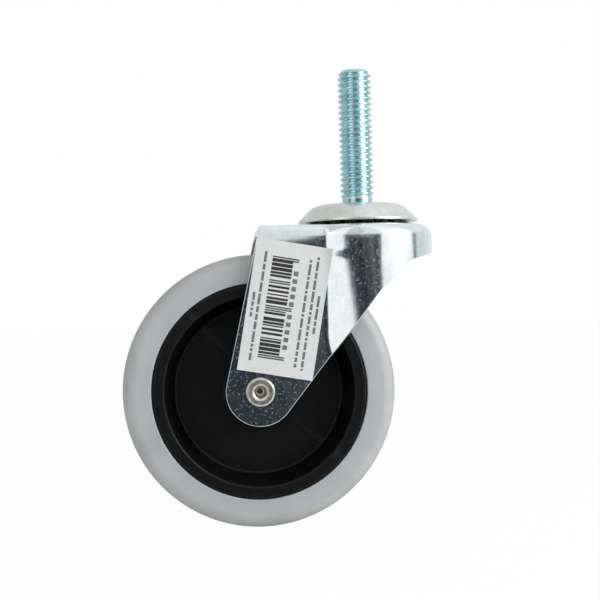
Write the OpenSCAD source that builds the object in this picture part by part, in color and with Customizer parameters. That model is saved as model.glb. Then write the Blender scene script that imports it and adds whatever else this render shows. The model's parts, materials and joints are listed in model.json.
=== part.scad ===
// Swivel castor: threaded stem, double ball race, pressed fork, dished wheel and side brake lever.
// Millimetres. The origin is on the stem's axis at the seat, +Z runs up the stem,
// the wheel trails towards -X and the brake lever is on the +Y side.

/* [Stem] */
// Outside diameter of the stem thread
stem_d = 9.525; // [8:0.005:10]
// Length of the stem above the seat
stem_l = 38.1; // [20:0.1:60]
// Chamfer at the tip of the stem
stem_chamfer = 1.2; // [0.4:0.1:2]
// Distance from one turn of the thread to the next
thread_pitch = 1.5875; // [1.25:0.0125:2]
// Plain length of the stem under the thread
thread_plain = 1.2; // [0.6:0.1:3]
// Diameter of the stem's collar in the cap's hole
collar_d = 10.6; // [10.2:0.1:11.4]
// Diameter of the kingpin that the head turns on
kingpin_d = 12; // [11.4:0.1:12.6]
// Diameter of the kingpin's end in the lower race
kingpin_end_d = 9; // [7:0.1:10]
// Diameter of the peened head under the lower race
peen_d = 14; // [12:0.1:16]
// Height of the peened head
peen_h = 2.2; // [1.5:0.1:3]

/* [Swivel head] */
// Diameter of the flat seat on top of the cap
seat_d = 20; // [17:0.1:22]
// Height of the cap from its seat to its brim
cap_h = 5.2; // [4.4:0.1:5.4]
// Sheet thickness of the cap
cap_sheet = 2; // [1.6:0.1:2.2]
// Gap between the cap's brim and the crown
cap_gap = 1; // [0.8:0.1:1.8]
// Diameter of the balls
ball_d = 4; // [3.6:0.1:4.2]
// Gap between the lower balls and the kingpin
lower_ball_gap = 0.6; // [0.4:0.05:0.8]
// Distance of the upper ball row outside the lower one
race_step = 3.2; // [2.8:0.05:3.5]
// Height of the upper balls' centres above the crown
ball_lift = 0.95; // [0.7:0.05:1.2]
// Width of the lip round the upper balls' groove
lip_w = 1.4; // [0.8:0.1:1.6]
// Height of that lip above the crown
lip_h = 0.45; // [0.2:0.05:0.5]
// Clearance between a ball and its race
ball_clearance = 0.12; // [0.08:0.01:0.2]
// Least gap between neighbouring balls
ball_spacing = 0.25; // [0.15:0.05:0.6]
// Sheet thickness of the lower race
cup_sheet = 1.6; // [1.2:0.1:2]
// Height of the lower race's rim above the centre of its balls
cup_rim_h = 0.4; // [0:0.1:0.6]

/* [Fork] */
// Sheet thickness of the fork
fork_sheet = 2; // [1.5:0.1:2.5]
// Diameter of the crown's round front
crown_d = 41.5; // [40:0.1:46]
// Outside bend radius round the crown's top
crown_bend_r = 3.4; // [2.8:0.1:4]
// Gap between the kingpin and the crown's hole
crown_hole_gap = 1; // [0.6:0.1:1.4]
// Distance from the swivel axis back to the crown's rear edge
crown_rear = 29; // [27:0.1:32]
// Height of the skirt at its very front, from the crown's top
skirt_h = 8.2; // [7:0.1:11]
// Fall of the skirt's lower edge from its front towards the legs
skirt_slope = 14.5; // [5:0.5:20]
// Clear width between the legs
leg_gap = 31.5; // [31:0.1:34]
// Radius where a leg turns out into the round front
neck_r = 4; // [2:0.1:6]
// Radius of a leg's round end
leg_end_r = 9.6; // [8:0.1:11]
// Slope of a leg's front edge
leg_slope = 51.5; // [48:0.1:56]
// Slope of that edge's upper run, up to the skirt
brow_slope = 44; // [40:0.1:48]
// Distance of the bend between both runs in front of the swivel axis
brow_x = 3.3; // [0:0.1:6]
// Distance of the axle behind the swivel axis
trail = 29.7; // [27:0.1:32]
// Gap between the crown's underside and the tyre
tyre_gap = 5.7; // [4.5:0.1:9]

/* [Wheel] */
// Outside diameter of the tyre
wheel_d = 75; // [68:0.1:82]
// Width of the tyre
tyre_w = 29; // [22:0.1:30]
// Radius of the tyre's shoulders
shoulder_r = 3; // [1.5:0.1:5]
// Diameter where the tyre meets the hub
hub_d = 59; // [56:0.1:62]
// Width of the rib that keys the tyre to the hub
key_w = 10; // [6:0.1:14]
// Height of that rib
key_h = 1.5; // [0.8:0.1:2.5]
// Thickness of the hub's rim at the wheel's face
rim_t = 3.7; // [2.6:0.1:5]
// Draft of the dish's wall, across its radius
dish_draft = 2.2; // [0.5:0.1:4]
// Thickness of the hub's web
web_t = 10; // [5:0.1:14]
// Diameter of the hub's boss
boss_d = 17.6; // [16:0.1:20]
// Radius at the edges of the hub's rim
rim_edge_r = 0.8; // [0.3:0.1:1.2]

/* [Axle] */
// Diameter of the axle rivet
axle_d = 6; // [5:0.1:6.6]
// Outside diameter of the sleeve that the wheel turns on
sleeve_d = 11; // [9.5:0.1:12]
// Radial clearance of the running fits
running_clearance = 0.05; // [0.02:0.01:0.08]
// Thickness of the thrust washers
thrust_washer_t = 0.9; // [0.5:0.1:1.2]
// Diameter of the thrust washers
thrust_washer_d = 17; // [14:0.1:19]
// End clearance of the wheel between its washers
wheel_end_clearance = 0.1; // [0.05:0.01:0.2]
// Diameter of the rolled rivet end
rivet_d = 7.8; // [7.4:0.1:9]
// Height of the rolled rivet end
rivet_h = 1.3; // [1.2:0.1:1.6]
// Diameter of the hole in the rolled end
rivet_hole_d = 2.8; // [2:0.1:3.4]
// Depth of the hole in the rolled end
rivet_hole_h = 5; // [3:0.1:8]
// Diameter of the axle's head on the brake side
axle_head_d = 12; // [10:0.1:14]
// Height of the axle's head on the brake side
axle_head_h = 2.4; // [1.6:0.1:3]

/* [Brake] */
// Diameter of the cam washer
cam_d = 16; // [12:0.1:18]
// Thickness of the cam washer
cam_t = 1.5; // [1:0.1:2]
// Sheet thickness of the lever
lever_sheet = 2; // [1.5:0.1:2.5]
// Radius of the lever's round end
lever_end_r = 8.6; // [7:0.1:9]
// Reach of the lever from the axle to its foot tab
lever_reach = 30; // [24:0.1:33]
// Width of the lever's arm and foot tab
lever_w = 15; // [12:0.1:17]
// Length of the foot tab, out from the arm
tab_l = 12; // [8:0.1:16]
// Outside bend radius of the foot tab
tab_bend_r = 3.2; // [2.8:0.1:4]
// Radius of the foot tab's corners
tab_corner_r = 4; // [2:0.1:5]
// Angle of the released lever above level
lever_rise = 16; // [0:1:30]
// Height of the stiffening bead on the arm
bead_h = 0.8; // [0.4:0.1:1]
// Width of the stiffening bead
bead_w = 4; // [3:0.1:5]
// Free gap on each side of the lever
lever_clearance = 0.1; // [0.05:0.01:0.2]
// Thickness of the spring washer's sheet
spring_t = 0.6; // [0.4:0.05:0.8]
// Dished height of the spring washer
spring_h = 1.2; // [1:0.1:1.6]
// Diameter of the spring washer
spring_d = 12; // [10:0.1:14]

/* [Label] */
// Width of the paper label
label_w = 20.4; // [14:0.1:24]
// Height of the paper label
label_h = 35.8; // [24:0.1:36]
// Tilt of the label, its top towards the front
label_tilt = 9.5; // [6:0.1:12]
// Thickness of the label
label_t = 0.15; // [0.1:0.01:0.3]
// Distance of the label's upper corner inside the leg's rear edge
label_inset = 0.2; // [0.1:0.1:1]
// Depth of that corner below the crown's top
label_drop = 3.6; // [3.5:0.1:6]

/* [Hidden] */
$fn = 96;

// Colours
zinc_colour = [0.72, 0.80, 0.81];
nickel_colour = [0.80, 0.82, 0.80];
steel_colour = [0.62, 0.64, 0.66];
hub_colour = [0.05, 0.05, 0.055];
tyre_colour = [0.72, 0.74, 0.74];
paper_colour = [0.93, 0.93, 0.94];

// Small overlap that joins pressed shapes into one sheet
lap = 1;

// Smallest inside bend of pressed sheet
least_bend_r = 0.2;

// Thread of 60 degrees, drawn as rings of its pitch: crest, flanks and root
thread_angle = 60;
thread_crest = thread_pitch / 8;
thread_root = thread_pitch / 4;
thread_flank = (thread_pitch - thread_crest - thread_root) / 2;
thread_depth = thread_flank / tan(thread_angle / 2);
thread_turns = floor((stem_l - stem_chamfer - thread_plain) / thread_pitch);

// Upper race: the balls lie in the crown's pressed groove, under the cap's 45 degree flank
ball_r = ball_d / 2;
race_r = ball_r + ball_clearance;
lower_pitch_r = kingpin_d / 2 + lower_ball_gap + ball_r;
upper_pitch_r = lower_pitch_r + race_step;
crown_z = -cap_h - cap_gap;
upper_ball_z = crown_z + ball_lift;

// Cap: radius at which the flank's line meets the seat's plane, and the bend that joins the two
flank_r = upper_pitch_r + upper_ball_z + sqrt(2) * (race_r + cap_sheet);
bend_share = sqrt(2) - 1;
cap_bend_r = (flank_r - seat_d / 2) / bend_share;
cap_bend_in_r = max(cap_bend_r - cap_sheet, least_bend_r);
cap_brim_r = flank_r + cap_h;

// Lower race: the balls bear on the inner flank of that groove
groove_back_r = race_r + fork_sheet;
lower_ball_z = upper_ball_z - sqrt(pow(groove_back_r + race_r, 2) - pow(race_step, 2));
cup_floor_z = lower_ball_z - race_r;
cup_back_z = cup_floor_z - cup_sheet;

// Small angle at which a straight run of the fork meets an arc
edge_blend = 7;

// Fork plan: round front, straight legs and the neck arcs that join them
crown_r = crown_d / 2;
leg_y = leg_gap / 2 + fork_sheet;
neck_y = leg_y + neck_r;
neck_x = -sqrt(pow(crown_r + neck_r, 2) - pow(neck_y, 2));
neck_azimuth = atan2(neck_y, -neck_x);

// Fork side outline: straight edges that run into the round leg end
axle_z = crown_z - fork_sheet - tyre_gap - wheel_d / 2;
axle = [-trail, axle_z];
skirt_z = crown_z - skirt_h;
rear_top = [-crown_rear, crown_z];
edge_r = leg_end_r * cos(edge_blend);
rear_rise = rear_top - axle;
rear_angle = atan2(rear_rise[1], rear_rise[0]) + acos(edge_r / norm(rear_rise));
rear_foot = axle + edge_r * [cos(rear_angle), sin(rear_angle)];
front_foot = axle + edge_r * [sin(leg_slope), -cos(leg_slope)];
front_run = [cos(leg_slope), sin(leg_slope)];
brow = front_foot + front_run * (brow_x - front_foot[0]) / front_run[0];
rear_run = (rear_top - rear_foot) / norm(rear_top - rear_foot);
wall_low = axle_z - leg_end_r - lap;
wall_rear = -trail - leg_end_r - lap;

// Axle stack along Y, from the near leg's face to the far one
hub_half_w = leg_gap / 2 - thrust_washer_t - wheel_end_clearance;
cam_y = leg_y + cam_t;
lever_y = cam_y + lever_clearance;
spring_y = lever_y + lever_sheet + lever_clearance;
axle_head_y = spring_y + spring_h;

// Balls that fit round a row, evenly spaced
function ball_count(pitch_r) = floor(180 / asin((ball_r + ball_spacing / 2) / pitch_r));

// Ring of balls about the swivel axis
module ball_row(pitch_r, z) {
    count = ball_count(pitch_r);
    for (i = [0 : count - 1])
        rotate(i * 360 / count) translate([pitch_r, 0, z]) sphere(ball_r);
}

// Turns a profile of radius and offset about the axle's line
module turn_on_axle() {
    translate([-trail, 0, axle_z]) rotate([-90, 0, 0]) rotate_extrude() children();
}

// Rectangle of radius and offset whose corners are rounded
module rounded_bar(size, r) {
    translate([r, 0]) square([size[0] - 2 * r, size[1]]);
    translate([0, r]) square([size[0], size[1] - 2 * r]);
    for (x = [r, size[0] - r], y = [r, size[1] - r])
        translate([x, y]) circle(r);
}

// Mirrored pair about the wheel's middle plane
module both_sides() {
    children();
    mirror([0, 1, 0]) children();
}

// Mirrored pair of a half section
module both_ways() {
    children();
    mirror([1, 0]) children();
}

// Outline of radius and offset, closed by its mirror image
function mirrored(half) = concat(half, [for (i = [len(half) - 1 : -1 : 0]) [half[i][0], -half[i][1]]]);

// Section of one turn of the thread that starts at a height: down a flank, along the root and up again
function thread_turn(r, z) = [
    [r, z], [r - thread_depth, z + thread_flank],
    [r - thread_depth, z + thread_flank + thread_root], [r, z + 2 * thread_flank + thread_root]
];

// Stem and kingpin, turned in one piece and peened over under the lower race
module threaded_stem() {
    stem_r = stem_d / 2;
    thread = [for (i = [0 : thread_turns - 1]) each thread_turn(stem_r, thread_plain + i * thread_pitch)];
    color(zinc_colour) rotate_extrude() {
        polygon(concat([
            [0, cup_back_z], [kingpin_end_d / 2, cup_back_z], [kingpin_end_d / 2, cup_floor_z],
            [kingpin_d / 2, cup_floor_z], [kingpin_d / 2, -cap_sheet], [collar_d / 2, -cap_sheet],
            [collar_d / 2, 0], [stem_r, 0]
        ], thread, [
            [stem_r, stem_l - stem_chamfer], [stem_r - stem_chamfer, stem_l], [0, stem_l]
        ]));
        peen_profile();
    }
}

// Domed rivet head: an arc through the rim and the crown of the head
module peen_profile() {
    rim_r = peen_d / 2;
    dome_r = (pow(rim_r, 2) + pow(peen_h, 2)) / (2 * peen_h);
    translate([0, cup_back_z]) intersection() {
        translate([0, dome_r - peen_h]) circle(dome_r);
        translate([0, -peen_h]) square([rim_r, peen_h]);
    }
}

// Pressed cap: flat seat, bend and 45 degree flank down to a plain brim
module top_cap() {
    color(nickel_colour) rotate_extrude() intersection() {
        translate([collar_d / 2, -cap_h]) square([cap_brim_r, cap_h]);
        difference() {
            cap_form(0, cap_bend_r);
            cap_form(cap_sheet, cap_bend_in_r);
        }
    }
}

// Region under the cap's outer face, inset by a depth: seat, bend of radius r and flank
module cap_form(depth, r) {
    bend = [flank_r - bend_share * (depth + r), -depth - r];
    step = r * sin(45);
    flank_l = cap_brim_r;
    translate(bend) circle(r);
    polygon([
        [0, -depth], [bend[0], -depth], bend,
        [bend[0] + step, bend[1] + step], [bend[0] + step + flank_l, bend[1] + step - flank_l],
        [0, bend[1] + step - flank_l]
    ]);
}

// Pressed cup that carries the lower balls
module lower_race() {
    color(zinc_colour) rotate_extrude() difference() {
        union() {
            translate([kingpin_end_d / 2, cup_back_z])
                square([lower_pitch_r - kingpin_end_d / 2, cup_sheet]);
            intersection() {
                translate([lower_pitch_r, lower_ball_z]) circle(race_r + cup_sheet);
                translate([lower_pitch_r, cup_back_z])
                    square([race_r + cup_sheet, race_r + cup_sheet + cup_rim_h]);
            }
        }
        translate([lower_pitch_r, lower_ball_z]) circle(race_r);
    }
}

module upper_balls() {
    color(steel_colour) ball_row(upper_pitch_r, upper_ball_z);
}

module lower_balls() {
    color(steel_colour) ball_row(lower_pitch_r, lower_ball_z);
}

// Half section of a form with a bent upper edge: width from zero, height from the legs' ends
module bent_section(width, low, top, bend_r) {
    translate([0, low]) square([width, top - bend_r - low]);
    translate([0, low]) square([width - bend_r, top - low]);
    translate([width - bend_r, top - bend_r]) circle(bend_r);
}

// Solid form of the crown and both legs, inset from the sheet's outer face
module fork_form(inset) {
    low = wall_low - inset;
    top = crown_z - inset;
    bend_r = crown_bend_r - inset;
    neck_face_r = neck_r / cos(edge_blend) + inset;
    rotate_extrude() intersection() {
        bent_section(crown_r - inset, low, top, bend_r);
        translate([0, low]) square([crown_r, top - low]);
    }
    translate([wall_rear - inset, 0, 0]) rotate([90, 0, 90])
        linear_extrude(-wall_rear + inset) both_ways() bent_section(leg_y - inset, low, top, bend_r);
    both_sides() translate([neck_x, -neck_y, 0]) intersection() {
        rotate_extrude() translate([neck_face_r + crown_bend_r + lap, 0]) mirror([1, 0])
            bent_section(crown_bend_r + lap, low, top, bend_r);
        translate([0, 0, low - lap]) linear_extrude(top - low + 2 * lap) neck_wedge();
    }
}

// Plan sector of a neck, from the round front to the straight leg
module neck_wedge() {
    front = neck_y * [cos(neck_azimuth), sin(neck_azimuth)];
    polygon([[0, 0], front, [front[0], neck_y], [0, neck_y]]);
}

// Side outline of the fork: round leg end, straight edges, brow and the skirt's lower edge
module side_outline() {
    front_x = crown_r + lap;
    skirt_front = [front_x, skirt_z + lap * tan(skirt_slope)];
    corner_x = brow[0] + (skirt_z - brow[1] - (crown_r - brow[0]) * tan(skirt_slope))
        / (tan(brow_slope) - tan(skirt_slope));
    corner = [corner_x, brow[1] + (corner_x - brow[0]) * tan(brow_slope)];
    translate(axle) circle(leg_end_r);
    polygon([
        axle, rear_foot, rear_top + lap * rear_run,
        [front_x, crown_z + lap], skirt_front, corner, brow, front_foot
    ]);
}

// Fork, pressed from one sheet, with the ball groove pressed into its crown
module fork() {
    color(zinc_colour) difference() {
        union() {
            intersection() {
                difference() {
                    fork_form(0);
                    fork_form(fork_sheet);
                }
                rotate([90, 0, 0]) linear_extrude(crown_d + lap, center = true) side_outline();
            }
            groove_back();
            groove_lip();
        }
        rotate_extrude() translate([upper_pitch_r, upper_ball_z]) circle(race_r);
        translate([0, 0, upper_ball_z - groove_back_r - lap])
            cylinder(r = kingpin_d / 2 + crown_hole_gap, h = groove_back_r + 2 * lap);
        translate([-trail, 0, axle_z]) rotate([90, 0, 0])
            cylinder(d = axle_d + 2 * running_clearance, h = 2 * leg_y + lap, center = true);
    }
}

// Underside of the pressed groove
module groove_back() {
    back_top = crown_z - fork_sheet / 2;
    rotate_extrude() intersection() {
        translate([upper_pitch_r, upper_ball_z]) circle(groove_back_r);
        translate([0, upper_ball_z - groove_back_r])
            square([crown_r, back_top - upper_ball_z + groove_back_r]);
    }
}

// Lip raised round the groove, falling at 45 degrees to the crown
module groove_lip() {
    lip_r = upper_pitch_r + race_r + lip_w;
    low_z = crown_z - fork_sheet / 2;
    top_z = crown_z + lip_h;
    rotate_extrude() polygon([
        [upper_pitch_r, low_z], [lip_r + top_z - low_z, low_z], [lip_r, top_z], [upper_pitch_r, top_z]
    ]);
}

// Axle rivet: plain head on the brake side, rolled end with its hole on the near side
module axle_rivet() {
    axle_r = axle_d / 2;
    roll_r = 0.45 * rivet_h;
    color(steel_colour) difference() {
        turn_on_axle() {
            translate([0, -leg_y - rivet_h / 2])
                square([axle_r, axle_head_y + leg_y + rivet_h / 2 + axle_head_h / 2]);
            intersection() {
                translate([-rivet_d, -leg_y - rivet_h]) rounded_bar([rivet_d * 1.5, rivet_h], roll_r);
                translate([0, -leg_y - rivet_h]) square([rivet_d / 2, rivet_h]);
            }
            intersection() {
                translate([-axle_head_d, axle_head_y])
                    rounded_bar([axle_head_d * 1.5, axle_head_h], axle_head_h / 3);
                translate([0, axle_head_y]) square([axle_head_d / 2, axle_head_h]);
            }
        }
        translate([-trail, -leg_y - rivet_h - lap, axle_z]) rotate([-90, 0, 0])
            cylinder(d = rivet_hole_d, h = rivet_hole_h + lap);
    }
}

// Steel sleeve clamped between the legs
module axle_sleeve() {
    bore_r = axle_d / 2 + running_clearance;
    color(steel_colour) turn_on_axle()
        translate([bore_r, -leg_gap / 2]) square([sleeve_d / 2 - bore_r, leg_gap]);
}

// Thrust washer against a leg's inner face, on the side given by its sign
module thrust_washer(side) {
    bore_r = sleeve_d / 2 + running_clearance;
    middle = side * (leg_gap - thrust_washer_t) / 2;
    color(steel_colour) turn_on_axle()
        translate([bore_r, middle - thrust_washer_t / 2])
            square([thrust_washer_d / 2 - bore_r, thrust_washer_t]);
}

module near_thrust_washer() {
    thrust_washer(-1);
}

module far_thrust_washer() {
    thrust_washer(1);
}

// Flat cam washer between the far leg and the lever
module cam_washer() {
    bore_r = axle_d / 2 + running_clearance;
    color(steel_colour) turn_on_axle()
        translate([bore_r, leg_y]) square([cam_d / 2 - bore_r, cam_t]);
}

// Dished spring washer between the lever and the axle's head
module spring_washer() {
    bore_r = axle_d / 2 + running_clearance;
    color(steel_colour) turn_on_axle() polygon([
        [bore_r, axle_head_y - spring_t], [spring_d / 2, spring_y],
        [spring_d / 2, spring_y + spring_t], [bore_r, axle_head_y]
    ]);
}

// Brake lever, pressed: round end on the axle, arm and foot tab turned outwards
module brake_lever() {
    color(zinc_colour) translate([-trail, 0, axle_z]) rotate([0, lever_rise, 0]) {
        difference() {
            union() {
                translate([0, lever_y + lever_sheet, 0]) rotate([90, 0, 0])
                    linear_extrude(lever_sheet) lever_outline();
                foot_tab();
                bead(bead_h + lever_sheet / 2);
            }
            translate([0, lever_y - lap, 0]) rotate([-90, 0, 0])
                cylinder(d = axle_d + 2 * running_clearance, h = lever_sheet + 2 * lap);
        }
    }
}

// Flat outline of the lever up to the start of its bend
module lever_outline() {
    arm_end = tab_bend_r - lever_reach;
    circle(lever_end_r);
    translate([arm_end, -lever_w / 2]) square([-arm_end, lever_w]);
}

// Bend and tab at the lever's end, with rounded corners
module foot_tab() {
    outer = [tab_bend_r - lever_reach, lever_y + tab_bend_r];
    tab_y = lever_y + tab_l;
    intersection() {
        translate([0, 0, -lever_w / 2]) linear_extrude(lever_w) {
            intersection() {
                translate(outer) difference() {
                    circle(tab_bend_r);
                    circle(tab_bend_r - lever_sheet);
                }
                translate([-lever_reach, lever_y]) square(tab_bend_r);
            }
            translate([-lever_reach, outer[1]]) square([lever_sheet, tab_y - outer[1]]);
        }
        translate([-lever_reach - lap, 0, 0]) rotate([90, 0, 90])
            linear_extrude(tab_bend_r + 2 * lap) {
                translate([0, -lever_w / 2]) square([tab_y - tab_corner_r, lever_w]);
                translate([0, tab_corner_r - lever_w / 2])
                    square([tab_y, lever_w - 2 * tab_corner_r]);
                for (z = [-1, 1])
                    translate([tab_y - tab_corner_r, z * (lever_w / 2 - tab_corner_r)])
                        circle(tab_corner_r);
            }
    }
}

// Stiffening bead along the arm, standing proud of its outer face
module bead(height) {
    base_y = lever_y + lever_sheet / 2;
    bead_r = (pow(bead_w / 2, 2) + pow(height, 2)) / (2 * height);
    start = -lever_end_r - bead_w / 2;
    end = tab_bend_r + bead_w / 2 - lever_reach;
    intersection() {
        translate([0, base_y + height - bead_r, 0]) {
            translate([end, 0, 0]) rotate([0, 90, 0]) cylinder(r = bead_r, h = start - end);
            for (x = [start, end])
                translate([x, 0, 0]) sphere(bead_r);
        }
        translate([-lever_reach, base_y, -lever_w / 2]) cube([lever_reach, height + lap, lever_w]);
    }
}

// Dished hub: rim, conical wall, web and boss, the same on both faces
module hub() {
    half_w = tyre_w / 2;
    rim_r = hub_d / 2;
    dish_r = rim_r - rim_t;
    bore_r = sleeve_d / 2 + running_clearance;
    color(hub_colour) turn_on_axle() polygon(mirrored([
        [bore_r, hub_half_w], [boss_d / 2, hub_half_w], [boss_d / 2, web_t / 2],
        [dish_r - dish_draft, web_t / 2], [dish_r, half_w - rim_edge_r], [dish_r + rim_edge_r, half_w],
        [rim_r - rim_edge_r, half_w], [rim_r, half_w - rim_edge_r], [rim_r, key_w / 2],
        [rim_r + key_h, key_w / 2]
    ]));
}

// Tyre moulded round the hub's rim and its key rib
module tyre() {
    rim_r = hub_d / 2;
    color(tyre_colour) turn_on_axle() difference() {
        translate([rim_r - shoulder_r, -tyre_w / 2])
            rounded_bar([wheel_d / 2 - rim_r + shoulder_r, tyre_w], shoulder_r);
        translate([0, -tyre_w / 2]) square([rim_r, tyre_w]);
        translate([0, -key_w / 2]) square([rim_r + key_h, key_w]);
    }
}

// Paper label pressed onto the near leg and its neck, hung from its upper rear corner
module paper_label() {
    corner_x = rear_top[0] - label_drop * rear_run[0] / rear_run[1] + label_inset;
    front_y = -crown_r - label_t - lap;
    color(paper_colour) intersection() {
        difference() {
            fork_form(-label_t);
            fork_form(0);
        }
        translate([corner_x, front_y, crown_z - label_drop]) rotate([0, label_tilt, 0])
            translate([0, 0, -label_h]) cube([label_w, lap - leg_y - front_y, label_h]);
    }
}

threaded_stem();
top_cap();
lower_race();
upper_balls();
lower_balls();
fork();
axle_rivet();
axle_sleeve();
near_thrust_washer();
far_thrust_washer();
cam_washer();
spring_washer();
brake_lever();
hub();
tyre();
paper_label();
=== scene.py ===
"""Looks of the threaded stem castor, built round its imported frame."""
import json
import math

import bpy
from mathutils import Matrix, Vector
from mathutils.geometry import delaunay_2d_cdt


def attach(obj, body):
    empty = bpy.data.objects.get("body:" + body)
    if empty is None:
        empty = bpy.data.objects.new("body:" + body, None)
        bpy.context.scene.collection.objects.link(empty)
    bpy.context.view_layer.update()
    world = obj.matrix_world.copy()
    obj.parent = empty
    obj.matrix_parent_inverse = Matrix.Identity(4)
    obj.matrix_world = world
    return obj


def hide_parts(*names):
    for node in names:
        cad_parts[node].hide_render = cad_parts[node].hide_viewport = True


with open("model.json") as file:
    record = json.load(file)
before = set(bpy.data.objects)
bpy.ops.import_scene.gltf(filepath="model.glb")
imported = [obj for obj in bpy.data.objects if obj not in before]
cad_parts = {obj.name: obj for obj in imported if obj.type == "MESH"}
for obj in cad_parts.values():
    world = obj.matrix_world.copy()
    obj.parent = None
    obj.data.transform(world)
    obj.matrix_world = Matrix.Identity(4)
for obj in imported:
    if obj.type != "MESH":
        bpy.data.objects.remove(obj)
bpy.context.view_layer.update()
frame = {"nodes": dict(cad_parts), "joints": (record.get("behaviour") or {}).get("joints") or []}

MM = 0.001

# Sizes in millimetres, those of the solids, with the roundings of edges and of the lever's bead added
# The thread's start, the leg's end, the crown's rear and the label differ a little, to suit the photograph
STEM_R = 4.7625
STEM_L = 38.1
STEM_CHAMFER = 1.2
THREAD_PITCH = 1.5875
THREAD_DEPTH = 0.86
NECK_PLAIN = 1.3
COLLAR_R = 5.3
KINGPIN_R = 6.0
KINGPIN_END_R = 4.5
PEEN_R = 7.0
PEEN_H = 2.2
CUP_FLOOR_Z = -12.727
CUP_BACK_Z = -14.327
CAP_SHEET = 2.0
CAP_H = 5.2
FLANK_R = 12.377
CAP_BEND_R = 5.738
CROWN_Z = -6.2
CROWN_R = 20.75
CROWN_REAR = 28.8
CROWN_HOLE_R = 7.0
LIP_W = 1.4
LIP_H = 0.45
CROWN_BEND_R = 3.4
SHEET = 2.0
EDGE_R = 0.22
BALL_PITCH_R = 11.8
BALL_Z = -5.25
RACE_R = 2.12
LEG_Y = 17.75
NECK_R = 4.0
LEG_END_R = 9.4
LEG_SLOPE = math.radians(51.5)
BROW_SLOPE = math.radians(44)
BROW_X = 3.3
SKIRT_SLOPE = math.radians(14.5)
SKIRT_Z = CROWN_Z - 8.2
WHEEL_R = 37.5
TYRE_HALF = 14.5
SHOULDER_R = 3.0
HUB_R = 29.5
HUB_HALF = 14.75
KEY_HALF = 5.0
KEY_H = 1.5
RIM_T = 3.7
DISH_DRAFT = 2.2
WEB_HALF = 5.0
BOSS_R = 8.8
BORE_R = 5.55
AXLE_R = 3.0
RIVET_R = 3.9
RIVET_H = 1.3
RIVET_HOLE_R = 1.4
RIVET_HOLE_H = 5.0
HEAD_R = 6.0
HEAD_H = 2.4
HEAD_Y = 22.65
LEVER_SHEET = 2.0
LEVER_Y = 19.35
LEVER_END_R = 8.6
LEVER_REACH = 30.0
LEVER_W = 15.0
LEVER_RISE = math.radians(16)
TAB_L = 12.0
TAB_BEND_R = 3.2
TAB_CORNER_R = 4.0
BEAD_H = 0.8
BEAD_R = 2.011
BEAD_FOOT = 1.45
BEAD_FILLET = 0.4
BEAD_END = 2.0
LABEL_W = 20.7
LABEL_H = 36.2
LABEL_T = 0.15
LABEL_TILT = math.radians(10.3)
LABEL_DROP = 3.3
LABEL_INSET = 0.1

WHEEL_SPIN = next(j for j in frame["joints"] if j["name"] == "wheel_spin")
AXLE = Vector([c / MM for c in WHEEL_SPIN["pos_m"]])


# Mesh helpers

def clamped(x, low=0.0, high=1.0):
    """Value kept between two limits."""
    return min(max(x, low), high)


def piece(name, body, node, verts, faces, mats, normals=None, face_mats=None):
    """New mesh object, its vertices in millimetres, that rides on a body and replaces a node."""
    mesh = bpy.data.meshes.new(name)
    mesh.from_pydata([Vector(v) * MM for v in verts], [], faces)
    for m in mats:
        mesh.materials.append(m)
    mesh.polygons.foreach_set("use_smooth", [True] * len(mesh.polygons))
    if face_mats:
        mesh.polygons.foreach_set("material_index", face_mats)
    mesh.update()
    if normals:
        mesh.normals_split_custom_set_from_vertices([Vector(n).normalized() for n in normals])
    obj = bpy.data.objects.new(name, mesh)
    bpy.context.scene.collection.objects.link(obj)
    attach(obj, body)
    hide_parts(node)
    return obj


def rounded(corners, steps):
    """Points and outward normals of an anticlockwise outline, from its (x, y, radius) corners."""
    points, normals = [], []
    for i, (x, y, r) in enumerate(corners):
        p = Vector((x, y))
        back = Vector(corners[i - 1][:2]) - p
        ahead = Vector(corners[(i + 1) % len(corners)][:2]) - p
        room = 0.49 * min(back.length, ahead.length)
        back.normalize()
        ahead.normalize()
        half = back.angle(ahead) / 2
        reach = min(r / math.tan(half), room)
        r = reach * math.tan(half)
        centre = p + (back + ahead).normalized() * (r / math.sin(half))
        start, end = p + back * reach - centre, p + ahead * reach - centre
        a = math.atan2(start.y, start.x)
        turn = (math.atan2(end.y, end.x) - a + math.pi) % (2 * math.pi) - math.pi
        side = 1 if turn > 0 else -1
        for k in range(steps + 1):
            way = Vector((math.cos(a + turn * k / steps), math.sin(a + turn * k / steps)))
            points.append(centre + way * r)
            normals.append(way * side)
    return points, normals


def lathe(points, normals, segments, place):
    """Closed outline of radius and height turned about an axis; place puts (x, y, height) in the frame."""
    verts, out, faces = [], [], []
    n = len(points)
    for i in range(segments):
        a = 2 * math.pi * i / segments
        c, s = math.cos(a), math.sin(a)
        for p, q in zip(points, normals):
            verts.append(place(Vector((p.x * c, p.x * s, p.y))))
            out.append(place(Vector((q.x * c, q.x * s, q.y))) - place(Vector((0, 0, 0))))
        for k in range(n):
            a0, a1 = i * n + k, i * n + (k + 1) % n
            b0, b1 = (i + 1) % segments * n + k, (i + 1) % segments * n + (k + 1) % n
            faces.append((a0, b0, b1, a1))
    return verts, faces, out


def on_stem(p):
    """Turned about the stem: height runs along +Z."""
    return Vector(p)


def on_axle(p):
    """Turned about the axle: height runs along +Y."""
    return Vector((AXLE.x + p.y, p.z, AXLE.z + p.x))


def turned(name, body, node, mat, corners, place, steps, segments):
    """Piece turned from an outline of rounded corners."""
    verts, faces, normals = lathe(*rounded(corners, steps), segments, place)
    return piece(name, body, node, verts, faces, [mat], normals)


def arc(x, y, r, start, end, n):
    """Points of an arc in n steps from one angle to another."""
    angles = [start + (end - start) * k / n for k in range(n + 1)]
    return [Vector((x + r * math.cos(a), y + r * math.sin(a))) for a in angles]


def circle(r, n):
    """Points of a circle about the origin."""
    return arc(0, 0, r, 0, 2 * math.pi, n)[:-1]


# Materials

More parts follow.
